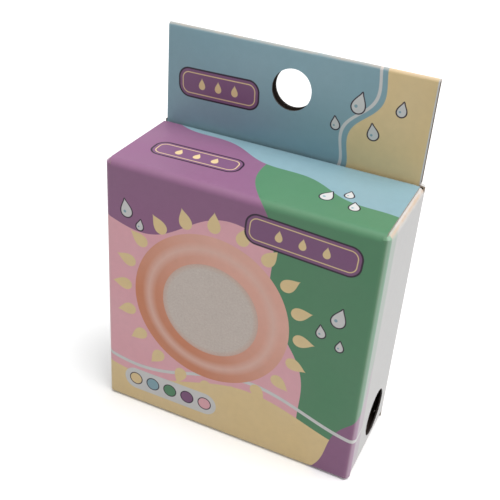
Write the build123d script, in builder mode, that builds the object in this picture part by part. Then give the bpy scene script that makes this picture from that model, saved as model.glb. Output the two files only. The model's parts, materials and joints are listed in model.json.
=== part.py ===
from build123d import *
import os
from math import cos, degrees, hypot, radians, sin, tan

# A finger moistener packed in a folding carton with a hanging tab.
# Millimetres. Origin under the middle of the carton, +Z up, the front towards -Y.

# Moistener: a round dish with a domed rim and a sunken sponge pad
dish_diameter = 82.0
dish_height = 29.5
base_diameter = 60.0
rim_width = 13.0  # across the domed rim
rim_band = 2.0  # straight band under the dome
rim_overhang = 0.6  # rim past the lip of the bowl
plastic_wall = 1.6
floor_gap = 7.8  # air between the bowl's floor and the well's floor
rib_depth = 1.1  # locating rib of the rim inside the bowl
rib_width = 1.2
rib_clearance = 0.25
base_rounding = 1.0
pad_recess = 7.0  # pad's edge below the crest of the rim
pad_clearance = 0.3
pad_crown = 0.6
pad_rounding = 1.2

# Paperboard and its folds
board = 0.5
crease_radius = 1.2  # outside radius of a folded crease
crease_slit = 0.05  # parting between two panels at a moving crease
layer_gap = 0.05  # air between a closing panel and the dust flaps

# Room that the carton leaves round the dish
side_room = 2.05
seat_gap = 0.3
headroom = 5.4
front_room = 0.9
back_room = 3.5

# Hanging tab, folded over at the top
tab_rise = 31.7
tab_inset = 1.55
ply_gap = 0.8
tongue_length = 6.0  # front ply below the lid
tongue_inset = 1.3
hang_hole_diameter = 12.5
hang_hole_drop = 11.9  # from the top of the tab to the hole's centre

# Lid, bottom and their tuck flaps
lid_gap = 0.4  # back edge of a closing panel to the wall behind it
panel_side_gap = 0.1
fold_rounding = 0.35
tuck_length = 10.0
tuck_lean = 10.0  # degrees inward, so that the tuck swings out past the wall
tuck_gap = 0.15
tuck_inset = 1.3
tuck_corner = 6.0

# Dust flaps on the sides
dust_flap_length = 24.0
dust_front_gap = 0.4
dust_back_gap = 0.9
dust_front_rake = 30.0  # degrees
dust_back_rake = 10.0
dust_corner = 1.5

# Glue flap and back seam
glue_flap_width = 11.0
glue_flap_rake = 20.0
seam_inset = 0.3
corner_trim = 0.4  # upright creases end below the lid's face

# Round window in the right side
window_diameter = 15.8
window_height = 12.1
window_from_back = 14.9

# Carton sizes that follow from the dish and the board
tab_depth = 2 * board + ply_gap
carton_width = dish_diameter + 2 * (side_room + board)
carton_height = board + seat_gap + dish_diameter + headroom + board
carton_depth = board + front_room + dish_height + back_room + tab_depth
half_width = carton_width / 2
front_y = -carton_depth / 2
back_y = carton_depth / 2

# Crease centres and the levels of the flaps
flat_half = half_width - crease_radius
front_crease_y = front_y + crease_radius
top_crease_z = carton_height - crease_radius
slit_angle = degrees(crease_slit / (2 * crease_radius))
half_fold = 45 - slit_angle
dust_top = carton_height - board - layer_gap
dust_bottom = board + layer_gap
wall_low = dust_bottom + crease_radius
wall_high = dust_top - crease_radius
middle_plane = Plane.XY.offset(carton_height / 2)

# Tab planes and the back edges of the closing panels
tab_half = half_width - tab_inset
tab_front_y = back_y - tab_depth
tab_fold_radius = tab_depth / 2
tab_top = carton_height + tab_rise
hang_hole_z = tab_top - hang_hole_drop
lid_back = tab_front_y - lid_gap
bottom_back = back_y - 2 * board - lid_gap
dust_front = front_crease_y + dust_front_gap
dust_back = lid_back - board - dust_back_gap

# Dish heights are counted from its base, which faces the back of the carton
dish_radius = dish_diameter / 2
dish_base_y = front_y + board + front_room + dish_height
dish_centre_z = board + seat_gap + dish_radius
dish_plane = Plane((0, dish_base_y, dish_centre_z), x_dir=(1, 0, 0), z_dir=(0, 0, -1))
dish_axis = Axis((0, dish_base_y, dish_centre_z), (0, -1, 0))
dome_radius = rim_width / 2
dome_centre_r = dish_radius - dome_radius
dome_centre_h = dish_height - dome_radius
lip_height = dome_centre_h - rim_band
lip_radius = dish_radius - rim_overhang
base_radius = base_diameter / 2
wall_slope = (lip_radius - base_radius) / lip_height
wall_run = plastic_wall * hypot(1, wall_slope)
well_radius = dish_radius - rim_width
well_floor = 2 * plastic_wall + floor_gap

LOW_CORNER = (Align.MIN, Align.MIN)


def ring_sector(centre, radius, start, sweep):
    """Section of folded board: a ring sector one board thick."""
    with BuildSketch() as sector:
        with BuildLine():
            outer = CenterArc(centre, radius, start, sweep)
            inner = CenterArc(centre, radius - board, start, sweep)
            Line(outer @ 0, inner @ 0)
            Line(outer @ 1, inner @ 1)
        make_face()
    return sector.sketch


def closing_panel(back_edge):
    """Flat panel that folds on the front's upper crease, closed."""
    with BuildPart() as panel:
        with BuildSketch(Plane.YZ):
            add(ring_sector((front_crease_y, top_crease_z), crease_radius, 90, half_fold))
            with Locations((front_crease_y, carton_height - board)):
                Rectangle(back_edge - front_crease_y, board, align=LOW_CORNER)
        extrude(amount=flat_half - panel_side_gap, both=True)
        back_edges = panel.edges().filter_by(Axis.X).group_by(Axis.Y)[-1]
        fillet(back_edges.sort_by(Axis.Z)[-1], radius=min(fold_rounding, 0.8 * board))
    return panel


def tuck_flap(back_edge):
    """Flap that hangs under a closing panel's back edge and leans inward."""
    lean = radians(tuck_lean)
    outer_face = Plane(
        (0, back_edge, carton_height - board - tuck_gap),
        x_dir=(1, 0, 0),
        z_dir=(0, cos(lean), -sin(lean)),
    )
    with BuildPart() as flap:
        with BuildSketch(outer_face) as outline:
            Rectangle(2 * (flat_half - tuck_inset), tuck_length, align=(Align.CENTER, Align.MIN))
            fillet(outline.vertices().group_by(Axis.Y)[-1], radius=min(tuck_corner, 0.8 * tuck_length))
        extrude(amount=-board)
    return flap


def side_wall(back_end):
    """Right side of the tube, with its halves of both dust flap creases."""
    with BuildPart() as wall:
        with BuildSketch(Plane.YZ.offset(half_width - board)):
            with Locations((front_crease_y, wall_low)):
                Rectangle(back_end - front_crease_y, wall_high - wall_low, align=LOW_CORNER)
        extrude(amount=board)
        with BuildSketch(Plane.XZ.offset(-dust_back)):
            add(ring_sector((flat_half, wall_high), crease_radius, 0, half_fold))
            add(ring_sector((flat_half, wall_low), crease_radius, -half_fold, half_fold))
        extrude(amount=dust_back - dust_front)
    return wall


# Front: flat wall, upright corner creases, and its halves of the lid and bottom creases
with BuildPart() as front_panel:
    with BuildSketch(Plane.XY.offset(crease_radius)):
        with Locations((-flat_half, front_y)):
            Rectangle(2 * flat_half, board, align=LOW_CORNER)
    extrude(amount=carton_height - 2 * crease_radius)
    with BuildSketch(Plane.XY):
        add(ring_sector((-flat_half, front_crease_y), crease_radius, 180, 90))
        add(ring_sector((flat_half, front_crease_y), crease_radius, 270, 90))
    extrude(amount=carton_height - corner_trim)
    with BuildSketch(Plane.YZ):
        add(ring_sector((front_crease_y, top_crease_z), crease_radius, 180 - half_fold, half_fold))
        add(ring_sector((front_crease_y, crease_radius), crease_radius, 180, half_fold))
    extrude(amount=flat_half, both=True)

# Back: flat wall, rear ply of the tab with its hanging hole, and the right upright crease
with BuildPart() as back_panel:
    with BuildSketch(Plane.XZ.offset(-back_y)):
        with Locations((seam_inset - half_width, 0)):
            Rectangle(half_width - seam_inset + flat_half, carton_height, align=LOW_CORNER)
        with Locations((-tab_half, carton_height)):
            Rectangle(2 * tab_half, tab_rise - tab_fold_radius, align=LOW_CORNER)
        with Locations((0, hang_hole_z)):
            Circle(hang_hole_diameter / 2, mode=Mode.SUBTRACT)
    extrude(amount=board)
    with BuildSketch(Plane.XY):
        add(ring_sector((flat_half, back_y - crease_radius), crease_radius, 0, 90))
    extrude(amount=carton_height - corner_trim)

# Front ply of the tab, folded over from the rear ply, with a tongue behind the lid's tuck
with BuildPart() as hang_tab_front_ply:
    with BuildSketch(Plane.XZ.offset(-(tab_front_y + board))):
        with Locations((-tab_half, carton_height)):
            Rectangle(2 * tab_half, tab_rise - tab_fold_radius, align=LOW_CORNER)
        with Locations((tongue_inset - flat_half, carton_height - tongue_length)):
            Rectangle(2 * (flat_half - tongue_inset), tongue_length, align=LOW_CORNER)
        with Locations((0, hang_hole_z)):
            Circle(hang_hole_diameter / 2, mode=Mode.SUBTRACT)
    extrude(amount=board)
    with BuildSketch(Plane.YZ):
        add(ring_sector((back_y - tab_fold_radius, tab_top - tab_fold_radius), tab_fold_radius, 0, 180))
    extrude(amount=tab_half, both=True)

# Glue flap: folded from the left side and bonded inside the back
glue_face_y = back_y - board
with BuildPart() as glue_flap:
    with BuildSketch(Plane.XZ.offset(-glue_face_y)):
        flap_taper = glue_flap_width * tan(radians(glue_flap_rake))
        with BuildLine():
            Polyline(
                (-flat_half, wall_low),
                (glue_flap_width - flat_half, wall_low + flap_taper),
                (glue_flap_width - flat_half, wall_high - flap_taper),
                (-flat_half, wall_high),
                close=True,
            )
        make_face()
    extrude(amount=board)
    with BuildSketch(Plane.XY.offset(wall_low)):
        add(ring_sector((-flat_half, glue_face_y - crease_radius), crease_radius, 90, 90))
    extrude(amount=wall_high - wall_low)

# Right side, with the round window low down near the back
right_wall = side_wall(back_y - crease_radius)
with BuildPart() as right_side_panel:
    add(right_wall.part)
    with BuildSketch(Plane.YZ.offset(half_width)):
        with Locations((back_y - window_from_back, window_height)):
            Circle(window_diameter / 2)
    extrude(amount=-board, mode=Mode.SUBTRACT)

# Left side, which runs into the glue flap
left_wall = side_wall(glue_face_y - crease_radius)
with BuildPart() as left_side_panel:
    mirror(left_wall.part, about=Plane.YZ)

# Dust flaps: raked so that they pass the lid as both fold open
with BuildPart() as top_dust_flap_right:
    flap_end = flat_half - dust_flap_length
    with BuildSketch(Plane.XY.offset(dust_top - board)) as dust_outline:
        with BuildLine():
            Polyline(
                (flat_half, dust_front),
                (flap_end, dust_front + dust_flap_length * tan(radians(dust_front_rake))),
                (flap_end, dust_back - dust_flap_length * tan(radians(dust_back_rake))),
                (flat_half, dust_back),
                close=True,
            )
        make_face()
        fillet(dust_outline.vertices().group_by(Axis.X)[0], radius=dust_corner)
    extrude(amount=board)
    with BuildSketch(Plane.XZ.offset(-dust_back)):
        add(ring_sector((flat_half, wall_high), crease_radius, 90 - half_fold, half_fold))
    extrude(amount=dust_back - dust_front)

with BuildPart() as top_dust_flap_left:
    mirror(top_dust_flap_right.part, about=Plane.YZ)

with BuildPart() as bottom_dust_flap_right:
    mirror(top_dust_flap_right.part, about=middle_plane)

with BuildPart() as bottom_dust_flap_left:
    mirror(top_dust_flap_left.part, about=middle_plane)

# Lid and bottom, each with its tuck flap
lid_panel = closing_panel(lid_back)
lid_tuck_flap = tuck_flap(lid_back)

upper_twin_of_bottom = closing_panel(bottom_back)
with BuildPart() as bottom_panel:
    mirror(upper_twin_of_bottom.part, about=middle_plane)

upper_twin_of_tuck = tuck_flap(bottom_back)
with BuildPart() as bottom_tuck_flap:
    mirror(upper_twin_of_tuck.part, about=middle_plane)

# Outer bowl of the dish: a tapered cup
with BuildPart() as outer_bowl:
    with BuildSketch(dish_plane):
        with BuildLine():
            Polyline(
                (0, 0),
                (base_radius, 0),
                (lip_radius, lip_height),
                (lip_radius - wall_run, lip_height),
                (base_radius + wall_slope * plastic_wall - wall_run, plastic_wall),
                (0, plastic_wall),
                close=True,
            )
        make_face()
    revolve(axis=dish_axis)
    base_edge = outer_bowl.edges().filter_by(GeomType.CIRCLE).sort_by(Axis.Y)[-1]
    fillet(base_edge, radius=min(base_rounding, 0.8 * plastic_wall))

# Rim insert: domed rim, well for the pad, and a rib that centres it in the bowl
rib_low = lip_height - rib_depth
rib_outer = base_radius + wall_slope * rib_low - wall_run - rib_clearance
rib_inner = rib_outer - rib_width
inner_dome = dome_radius - plastic_wall
with BuildPart() as rim_insert:
    with BuildSketch(dish_plane):
        with BuildLine():
            Polyline(
                (dish_radius, dome_centre_h),
                (dish_radius, lip_height),
                (rib_outer, lip_height),
                (rib_outer, rib_low),
                (rib_inner, rib_low),
                (rib_inner, lip_height + plastic_wall),
                (dome_centre_r + inner_dome, lip_height + plastic_wall),
                (dome_centre_r + inner_dome, dome_centre_h),
            )
            CenterArc((dome_centre_r, dome_centre_h), inner_dome, 0, 180)
            Polyline(
                (dome_centre_r - inner_dome, dome_centre_h),
                (dome_centre_r - inner_dome, well_floor - plastic_wall),
                (0, well_floor - plastic_wall),
                (0, well_floor),
                (well_radius, well_floor),
                (well_radius, dome_centre_h),
            )
            CenterArc((dome_centre_r, dome_centre_h), dome_radius, 0, 180)
        make_face()
    revolve(axis=dish_axis)

# Sponge pad: a disc with a soft edge and a low crown
pad_radius = well_radius - pad_clearance
pad_edge = dish_height - pad_recess
pad_top = pad_edge + pad_crown
with BuildPart() as sponge_pad:
    with BuildSketch(dish_plane):
        with BuildLine():
            Polyline((0, pad_top), (0, well_floor), (pad_radius, well_floor), (pad_radius, pad_edge))
            TangentArc((0, pad_top), (pad_radius, pad_edge), tangent=(1, 0))
        make_face()
    revolve(axis=dish_axis)
    rims = sponge_pad.edges().filter_by(lambda edge: edge.is_closed)
    fillet(rims.sort_by(Axis.Y)[0], radius=pad_rounding)

pieces = {
    "front_panel": front_panel,
    "back_panel": back_panel,
    "hang_tab_front_ply": hang_tab_front_ply,
    "glue_flap": glue_flap,
    "right_side_panel": right_side_panel,
    "left_side_panel": left_side_panel,
    "top_dust_flap_right": top_dust_flap_right,
    "top_dust_flap_left": top_dust_flap_left,
    "bottom_dust_flap_right": bottom_dust_flap_right,
    "bottom_dust_flap_left": bottom_dust_flap_left,
    "lid_panel": lid_panel,
    "lid_tuck_flap": lid_tuck_flap,
    "bottom_panel": bottom_panel,
    "bottom_tuck_flap": bottom_tuck_flap,
    "outer_bowl": outer_bowl,
    "rim_insert": rim_insert,
    "sponge_pad": sponge_pad,
}

os.makedirs("parts", exist_ok=True)
for piece_name, piece in pieces.items():
    piece.part.label = piece_name
    export_step(piece.part, f"parts/{piece_name}.step")
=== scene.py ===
"""Looks of a boxed finger moistener: a printed hanging carton that opens, and the sponge dish inside it."""
import json
from math import cos, pi, radians, sin, tan

import bmesh
import bpy
from mathutils import Matrix, Vector


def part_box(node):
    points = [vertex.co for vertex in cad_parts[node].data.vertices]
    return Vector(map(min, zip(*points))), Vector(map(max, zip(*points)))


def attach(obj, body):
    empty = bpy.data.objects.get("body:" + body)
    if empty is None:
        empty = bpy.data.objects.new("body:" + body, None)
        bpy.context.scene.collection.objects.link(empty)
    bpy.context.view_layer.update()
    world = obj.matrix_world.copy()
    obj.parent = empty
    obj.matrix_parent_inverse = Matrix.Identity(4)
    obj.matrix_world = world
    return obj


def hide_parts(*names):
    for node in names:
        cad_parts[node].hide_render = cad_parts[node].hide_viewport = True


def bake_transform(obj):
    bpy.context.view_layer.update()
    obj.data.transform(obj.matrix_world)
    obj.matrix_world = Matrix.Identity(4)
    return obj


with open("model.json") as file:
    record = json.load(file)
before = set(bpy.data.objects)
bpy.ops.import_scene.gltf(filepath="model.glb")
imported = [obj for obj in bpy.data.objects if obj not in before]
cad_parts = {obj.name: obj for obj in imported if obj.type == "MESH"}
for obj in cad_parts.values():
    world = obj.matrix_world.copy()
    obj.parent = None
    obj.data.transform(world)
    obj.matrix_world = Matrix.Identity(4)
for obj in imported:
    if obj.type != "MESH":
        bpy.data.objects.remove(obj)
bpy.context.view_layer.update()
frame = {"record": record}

bl_info = {
    "name": "Boxed Finger Moistener",
    "version": (1, 0, 0),
    "blender": (4, 5, 0),
    "location": "View3D > Sidebar > Moistener",
    "description": "Models a printed hanging carton and the sponge dish that it holds",
    "category": "Add Mesh",
}

# Places that the frame gives, in metres
FRONT_LOW, FRONT_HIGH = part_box("front_panel")
BACK_LOW, BACK_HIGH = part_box("back_panel")
GLUE_LOW, GLUE_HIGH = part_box("glue_flap")
TAB_LOW, TAB_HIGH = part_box("hang_tab_front_ply")
_, LID_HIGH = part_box("lid_panel")
LID_TUCK_LOW, LID_TUCK_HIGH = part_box("lid_tuck_flap")
_, BOTTOM_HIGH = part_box("bottom_panel")
BOTTOM_TUCK_LOW, BOTTOM_TUCK_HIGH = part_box("bottom_tuck_flap")
DUST_LOW, DUST_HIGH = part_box("top_dust_flap_right")
BOWL_LOW, BOWL_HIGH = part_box("outer_bowl")
RIM_LOW, RIM_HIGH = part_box("rim_insert")
PAD_LOW, PAD_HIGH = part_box("sponge_pad")
HALF = FRONT_HIGH.x
FRONT = FRONT_LOW.y
BACK = BACK_HIGH.y
TOP = LID_HIGH.z
DUST_TOP = DUST_HIGH.z
DISH_Z = (RIM_LOW.z + RIM_HIGH.z) / 2
DISH_RADIUS = RIM_HIGH.x
BASE_Y = BOWL_HIGH.y
HANG_HOLE = next(mount for mount in frame["record"]["mounts"] if mount["name"] == "hang_hole")
HOLE_AT = Vector(HANG_HOLE["pos_m"])
HOLE_RADIUS = HANG_HOLE["dims"]["r_mm"] / 1000
WINDOW_BOX = next(o for o in frame["record"]["physics"]["openings"] if o["name"] == "colour_window")["box_m"]
WINDOW_AT = (Vector(WINDOW_BOX[0]) + Vector(WINDOW_BOX[1])) / 2

TINY = 1e-6
MM = 1000
# How the ends of the upright corners close in: runs as shares of the fold beside them, and the size kept
CORNER_RUN, CORNER_TAPER = 0.45, 0.35
CORNER_KEPT = (0.6, 0.6, 1)
FOOT_KEPT = (0.15, 0.02, 1)
FOOT_TURN_IN = 0.2
HEAD_KEPT = (0.15, 0.15, 1)
# Room beside the bottom's tuck, and where a dust flap begins as a share of the roll in front of it
SLIT = 0.00005
DUST_SETBACK = 0.75
FACING = {
    "FRONT": (pi / 2, 0, 0),
    "BACK": (pi / 2, 0, pi),
    "RIGHT": (pi / 2, 0, pi / 2),
    "LEFT": (pi / 2, 0, -pi / 2),
    "TOP": (0, 0, 0),
}


def ink(red, green, blue):
    """Linear colour of an 8-bit display colour."""
    shares = (red / 255, green / 255, blue / 255)
    return tuple(s / 12.92 if s <= 0.04045 else ((s + 0.055) / 1.055) ** 2.4 for s in shares)


def length_prop(label, text, default):
    """A length in metres that a user may change."""
    return bpy.props.FloatProperty(
        name=label, description=text, default=default, min=0, unit="LENGTH", precision=5
    )


def colour_prop(label, text, red, green, blue):
    """A colour that a user may change."""
    return bpy.props.FloatVectorProperty(
        name=label, description=text, default=ink(red, green, blue), min=0, max=1, subtype="COLOR"
    )


def angle_prop(label, text, default):
    """An angle that a user may change."""
    return bpy.props.FloatProperty(name=label, description=text, default=radians(default), subtype="ANGLE")


def strength_prop(label, text, default):
    """A strength of light that a user may change."""
    return bpy.props.FloatProperty(name=label, description=text, default=default, min=0)


class CartonSizes(bpy.types.PropertyGroup):
    """Sizes of the board and its cuts."""

    board: length_prop("Board", "Thickness of the folded board", 0.0005)
    upright_crease: length_prop("Upright Crease", "Outside radius of the folds between walls", 0.002)
    lid_crease: length_prop("Lid Crease", "Height of the fold between front and lid", 0.0023)
    lid_roll: length_prop("Lid Roll", "Depth over which the lid rolls into its fold", 0.0024)
    bottom_crease: length_prop("Bottom Crease", "Height of the fold between front and bottom", 0.0016)
    bottom_roll: length_prop("Bottom Roll", "Depth over which the bottom rolls into its fold", 0.0016)
    dust_crease: length_prop("Dust Flap Crease", "Outside radius of the folds of the dust flaps", 0.002)
    tab_bow: length_prop("Tab Bow", "How far the tab's front ply bows away from its rear ply", 0.0017)
    window_radius: length_prop("Window Radius", "Radius of the round window in the right side", 0.0079)
    fold_radius: length_prop("Tuck Fold Radius", "Outside radius of the fold at a tuck", 0.001)
    tuck_lean: angle_prop("Tuck Lean", "How far a closed tuck flap leans inward", 10)
    tuck_corner: length_prop("Tuck Corner", "Corner radius of a tuck flap", 0.006)
    dust_front_rake: angle_prop("Front Rake", "Slope of a dust flap's front edge", 30)
    dust_back_rake: angle_prop("Back Rake", "Slope of a dust flap's back edge", 10)
    dust_corner: length_prop("Dust Flap Corner", "Corner radius of a dust flap", 0.0015)
    dust_drop: length_prop("Dust Flap Drop", "Slack between a dust flap and the panel over it", 0.0003)
    glue_rake: angle_prop("Glue Flap Rake", "Slope of the glue flap's ends", 20)
    tongue_inset: length_prop("Tongue Inset", "Tab's tongue inside the tab's edges", 0.002)
    tongue_length: length_prop("Tongue Length", "Tab's front ply below the lid", 0.006)
    tab_lap: length_prop("Tab Lap", "Tab's full width carried below the lid", 0.001)
    tab_half: length_prop("Tab Half Width", "Half of the hanging tab's width", TAB_HIGH.x)
    # The bare strip is unprinted board and also a painted highlight along the tab's right edge
    bare_and_highlit_edge: length_prop("Bare Edge", "Unprinted strip along the tab's right edge", 0.0004)


class DishSizes(bpy.types.PropertyGroup):
    """Sizes of the moulded dish and its pad."""

    wall: length_prop("Wall", "Thickness of the plastic", 0.0016)
    rim_width: length_prop("Rim Width", "Width of the domed rim", 0.013)
    base_radius: length_prop("Base Radius", "Radius of the bowl's base", 0.03)
    foot_width: length_prop("Foot Width", "Width of the foot ring under the base", 0.0024)
    foot_depth: length_prop("Foot Depth", "Hollow inside the foot ring", 0.0005)
    edge_round: length_prop("Edge Rounding", "Rounding of the bowl's edges", 0.0008)
    pore_depth: length_prop("Pore Depth", "Depth of the sponge's open pores", 0.00035)


class PrintColours(bpy.types.PropertyGroup):
    """Inks and bare surfaces of the carton, and the dish's plastics."""

    lilac: colour_prop("Lilac", "Field over the lid", 147, 103, 137)
    pink: colour_prop("Pink", "Field behind the medallion", 235, 178, 187)
    green: colour_prop("Green", "Field at the right", 88, 138, 104)
    straw: colour_prop("Straw", "Field along the foot and on the tab", 234, 208, 158)
    blue: colour_prop("Blue", "Field of the tab", 141, 174, 185)
    plum: colour_prop("Plum", "Bare plates", 130, 90, 126)
    night: colour_prop("Night", "Outlines", 40, 20, 42)
    paper: colour_prop("Paper White", "Unprinted coated board", 218, 217, 216)
    peach: colour_prop("Peach", "Printed ring of the medallion", 235, 182, 166)
    clay: colour_prop("Clay", "Shaded edge of the medallion", 212, 140, 108)
    pad: colour_prop("Pad Grey", "Middle of the medallion", 200, 182, 174)
    # The inner face is darker than the board itself, as painted shade inside the carton
    inside: colour_prop("Inside", "Bare inner face of the board", 62, 50, 43)
    cut: colour_prop("Cut Edge", "Cut edges of the board", 184, 168, 152)
    # Punched edges: the board's dark core, darkened further as painted shade on the rims of the window and
    # hanging hole
    punched: colour_prop("Punched Edge", "Pressed edges of the punched holes", 52, 45, 42)
    # Colour of the fold marks: laid-bare coating, also used as a painted highlight along the back folds of
    # the lid and bottom
    worn_and_highlit: colour_prop("Worn Fold", "Coating laid bare along a worn fold", 214, 192, 172)
    bowl: colour_prop("Bowl", "Plastic of the bowl", 214, 150, 128)
    rim: colour_prop("Rim", "Plastic of the rim", 233, 193, 180)
    sponge: colour_prop("Sponge", "Foam of the pad", 224, 216, 206)


class StudioSettings(bpy.types.PropertyGroup):
    """Camera and light."""

    camera_at: bpy.props.FloatVectorProperty(
        name="Camera", description="Place of the camera", default=(0.08422, -0.20863, 0.19983), unit="LENGTH"
    )
    azimuth: angle_prop("Azimuth", "Camera's turn round the carton from its front", 22.671)
    elevation: angle_prop("Elevation", "How far the camera looks down", 31.644)
    roll: angle_prop("Roll", "Camera's tilt, right side up", 4.522)
    lens: bpy.props.FloatProperty(
        name="Lens", description="Focal length on a 36 mm sensor", default=61.91, unit="CAMERA"
    )
    key: strength_prop("Key", "Strength of the soft light from above", 3.0)
    key_from: bpy.props.FloatVectorProperty(
        name="Key Direction", description="Direction that the soft light comes from", default=(0.25, -0.04, 1)
    )
    key_spread: angle_prop("Key Spread", "Width of the soft light as seen from the object", 48)
    ambient: strength_prop("Ambient", "Strength of the surroundings", 0.3)


class Web:
    """A node tree with short ways to add and join nodes, and the colour laid in it so far."""

    def __init__(self, tree):
        self.tree = tree
        self.colour = None

    def feed(self, socket, value):
        """Link a socket into an input, or set the input's own value."""
        if isinstance(value, bpy.types.NodeSocket):
            self.tree.links.new(value, socket)
        else:
            socket.default_value = value

    def feed_named(self, inputs, **values):
        """Feed inputs by name."""
        for name, value in values.items():
            self.feed(inputs[name.replace("_", " ").title()], value)

    def add(self, kind, *values, **settings):
        """Add a node with its settings, and feed its inputs in order."""
        node = self.tree.nodes.new("ShaderNode" + kind)
        for setting, value in settings.items():
            setattr(node, setting, value)
        for socket, value in zip(node.inputs, values):
            self.feed(socket, value)
        return node

    def maths(self, operation, *values, clamp=False):
        """One maths node's result."""
        return self.add("Math", *values, operation=operation, use_clamp=clamp).outputs[0]

    def spread(self, value, span, start):
        """A value from 0 to 1 spread over a span from a start."""
        return self.maths("MULTIPLY_ADD", value, span, start)

    def vector(self, operation, *values):
        """One vector maths node's results."""
        return self.add("VectorMath", *values, operation=operation).outputs

    def parts(self, place):
        """How far across and up a place lies."""
        return self.add("SeparateXYZ", place).outputs[:2]

    def turned(self, place, turn):
        """How far across and up a place lies, once a turn is taken back."""
        node = self.add("VectorRotate", rotation_type="Z_AXIS")
        self.feed_named(node.inputs, vector=place, angle=self.maths("MULTIPLY", turn, -1))
        return self.parts(node.outputs[0])

    def layer(self, mask, below, above):
        """Colour with another laid over it where the mask is 1."""
        node = self.add("Mix", data_type="RGBA")
        self.feed(node.inputs[0], mask)
        for index, colour in ((6, below), (7, above)):
            linked = isinstance(colour, bpy.types.NodeSocket)
            self.feed(node.inputs[index], colour if linked else (*colour, 1))
        return node.outputs[2]

    def lay(self, mask, colour):
        """Lay a colour over what is laid so far."""
        self.colour = self.layer(mask, self.colour, colour)

    def within(self, distance, reach=0.0, soft=0.07):
        """Mask of the points whose distance is below a reach, with a soft edge in millimetres."""
        return self.maths("MULTIPLY_ADD", distance, -0.5 / soft, 0.5 * reach / soft + 0.5, clamp=True)

    def beyond(self, distance, start, soft=0.07):
        """Mask of the points whose distance is above a start."""
        return self.within(self.maths("SUBTRACT", start, distance), soft=soft)

    def band(self, distance, middle, half, soft=0.07):
        """Mask of the points whose distance is within half a band's width of its middle."""
        return self.within(self.maths("ABSOLUTE", self.maths("SUBTRACT", distance, middle)), half, soft)

    def on_piece(self):
        """Place on the piece, in metres."""
        return self.add("TexCoord").outputs["Object"]

    def noise(self, place, scale, detail=2.0, roughness=0.5):
        """Noise value from 0 to 1 over a place."""
        node = self.add("TexNoise")
        self.feed_named(node.inputs, vector=place, scale=scale, detail=detail, roughness=roughness)
        return node.outputs["Fac"]

    def bump(self, shader, height, strength, distance, invert=False):
        """Raise a shader's surface by a height."""
        node = self.add("Bump", invert=invert)
        self.feed_named(node.inputs, strength=strength, distance=distance, height=height)
        self.feed(shader["Normal"], node.outputs[0])

    def use(self, group, **values):
        """Place a node group and feed its inputs by name."""
        node = self.tree.nodes.new("ShaderNodeGroup")
        node.node_tree = bpy.data.node_groups[group]
        self.feed_named(node.inputs, **values)
        return node.outputs


# Sockets of node groups hold numbers, apart from these
SOCKET_KINDS = {"Place": "Vector", "Centre": "Vector", "Colour": "Color", "Ink": "Color"}


def new_group(name, inputs, outputs):
    """Start a shader node group with named inputs and outputs."""
    tree = bpy.data.node_groups.new(name, "ShaderNodeTree")
    for side, labels in (("INPUT", inputs), ("OUTPUT", outputs)):
        for label in labels:
            kind = "NodeSocket" + SOCKET_KINDS.get(label, "Float")
            tree.interface.new_socket(label, in_out=side, socket_type=kind)
    return Web(tree), tree.nodes.new("NodeGroupInput").outputs, tree.nodes.new("NodeGroupOutput").inputs


def wavy_edge_group():
    """Mask of the print above a waved line, which may be turned."""
    inputs = ("Place", "Turn", "Level", "Swell", "Length", "Shift")
    web, entry, leave = new_group("Wavy Edge", inputs, ("Distance", "Mask"))
    along, across = web.turned(entry["Place"], entry["Turn"])
    turns = web.maths("DIVIDE", web.maths("SUBTRACT", along, entry["Shift"]), entry["Length"])
    wave = web.maths("MULTIPLY", web.maths("SINE", web.maths("MULTIPLY", turns, 2 * pi)), entry["Swell"])
    distance = web.maths("SUBTRACT", web.maths("ADD", entry["Level"], wave), across)
    web.feed_named(leave, distance=distance, mask=web.within(distance))


def plate_group():
    """Signed distance to a rounded plate, in millimetres."""
    inputs = ("Place", "Centre", "Half Width", "Half Height", "Corner", "Turn")
    web, entry, leave = new_group("Rounded Plate", inputs, ("Distance",))
    moved = web.vector("SUBTRACT", entry["Place"], entry["Centre"])[0]
    past = []
    for place, half in zip(web.turned(moved, entry["Turn"]), ("Half Width", "Half Height")):
        flat = web.maths("SUBTRACT", entry[half], entry["Corner"])
        past.append(web.maths("SUBTRACT", web.maths("ABSOLUTE", place), flat))
    squares = [web.maths("POWER", web.maths("MAXIMUM", p, 0), 2) for p in past]
    outside = web.maths("SQRT", web.maths("ADD", *squares))
    inside = web.maths("MINIMUM", web.maths("MAXIMUM", *past), 0)
    distance = web.maths("SUBTRACT", web.maths("ADD", outside, inside), entry["Corner"])
    web.feed(leave["Distance"], distance)


def drop_group():
    """Signed distance to a water drop with a fine tip, in millimetres."""
    tip_height, taper, belly = 2.3, 1.5, 1.5
    glint_aside, glint_size = 0.34, 0.26
    inputs = ("Place", "Centre", "Radius", "Turn")
    web, entry, leave = new_group("Water Drop", inputs, ("Distance", "Glint"))
    radius = entry["Radius"]
    moved = web.vector("SUBTRACT", entry["Place"], entry["Centre"])[0]
    across, up = web.turned(moved, entry["Turn"])
    height = web.maths("MULTIPLY", radius, tip_height)
    share = web.maths("DIVIDE", up, height, clamp=True)
    left = web.maths("POWER", web.maths("SUBTRACT", 1, share), taper)
    width = web.maths("MULTIPLY", left, web.spread(share, belly, 1))
    low = web.maths("MINIMUM", up, 0)
    squares = [web.maths("POWER", web.maths("ABSOLUTE", across), 2), web.maths("POWER", low, 2)]
    reach = web.maths("SQRT", web.maths("ADD", *squares))
    tip = web.maths("MAXIMUM", web.maths("SUBTRACT", up, height), 0)
    edge = web.maths("SUBTRACT", reach, web.maths("MULTIPLY", width, radius))
    glint = web.add("CombineXYZ", web.spread(radius, glint_aside, across), up, 0).outputs[0]
    size = web.vector("LENGTH", glint)["Value"]
    shine = web.maths("SUBTRACT", size, web.maths("MULTIPLY", radius, glint_size))
    web.feed_named(leave, distance=web.maths("ADD", edge, tip), glint=shine)


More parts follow.
